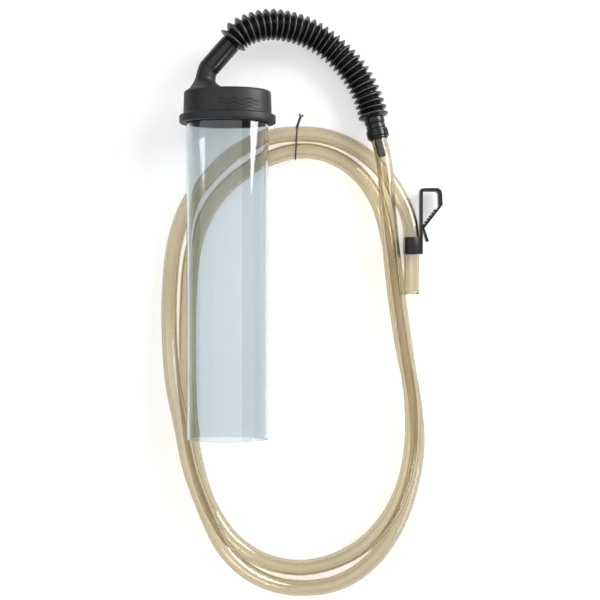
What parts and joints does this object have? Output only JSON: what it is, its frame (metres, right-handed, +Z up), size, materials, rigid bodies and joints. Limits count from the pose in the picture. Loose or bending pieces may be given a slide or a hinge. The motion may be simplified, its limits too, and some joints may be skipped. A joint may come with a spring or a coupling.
{
  "type": "gravel vacuum siphon",
  "caption": "Siphon for cleaning gravel: a clear oval tube with a capped elbow spout, a corrugated bend and a coiled clear hose with a rim clip.",
  "frame": {"origin": "on the table, under the middle of the head and its corrugated hose", "axes": "+Y along the tube from its mouth to its cap, +Z up from the table that it lies on"},
  "size_m": [0.2176, 0.4495, 0.0576],
  "materials": {
    "cap_plastic": "fine matte charcoal moulding",
    "clear_plastic": "clear, faint blue-grey",
    "guard_plastic": "satin black",
    "valve_plastic": "natural off-white plastic",
    "ball_plastic": "smooth ivory",
    "gloss_black": "glossy black soft plastic",
    "clear_vinyl": "smoky tan translucent vinyl",
    "tie_wire": "plastic-coated black wire",
    "clip_plastic": "satin black"
  },
  "bodies": {
    "hose": {"hose_cuff_upper": "gloss_black", "corrugated_hose": "gloss_black", "hose_cuff_lower": "gloss_black", "hose_connector": "gloss_black", "clear_hose": "clear_vinyl", "twist_tie": "tie_wire"},
    "head": {"tube_cap": "cap_plastic", "valve_seat": "valve_plastic", "ball_stop": "valve_plastic"},
    "tube": {"vacuum_tube": "clear_plastic", "gravel_guard": "guard_plastic"},
    "ball": {"valve_ball": "ball_plastic"},
    "nut": {"coupling_nut": "gloss_black"},
    "clip": {"clip_body": "clip_plastic"},
    "arm": {"clip_arm": "clip_plastic"}
  },
  "joints": [
    {"name": "spout_swivel", "type": "hinge", "parent": "hose", "child": "head", "pos_m": [-0.0584, 0.1165, 0.0323], "axis": [-0.6587, -0.7524, 0], "range_deg": [0, 180]},
    {"name": "tube_pull", "type": "slide", "parent": "head", "child": "tube", "axis": [0, -1, 0], "range_m": [0, 0.0155]},
    {"name": "ball_lift", "type": "slide", "parent": "head", "child": "ball", "axis": [0, 1, 0], "range_m": [0, 0.003]},
    {"name": "nut_turn", "type": "hinge", "parent": "hose", "child": "nut", "pos_m": [0.06986, 0.0704, 0.01433], "axis": [0.2214, -0.9689, 0.1107], "continuous": true},
    {"name": "clip_slide", "type": "slide", "parent": "hose", "child": "clip", "axis": [0, -1, 0], "range_m": [0, 0.006]},
    {"name": "arm_flex", "type": "hinge", "parent": "clip", "child": "arm", "pos_m": [0.1192, 0.0152, 0.0085], "axis": [0, 0, 1], "range_deg": [0, 18], "stiffness_Nm_per_rad": 0.3}
  ]
}
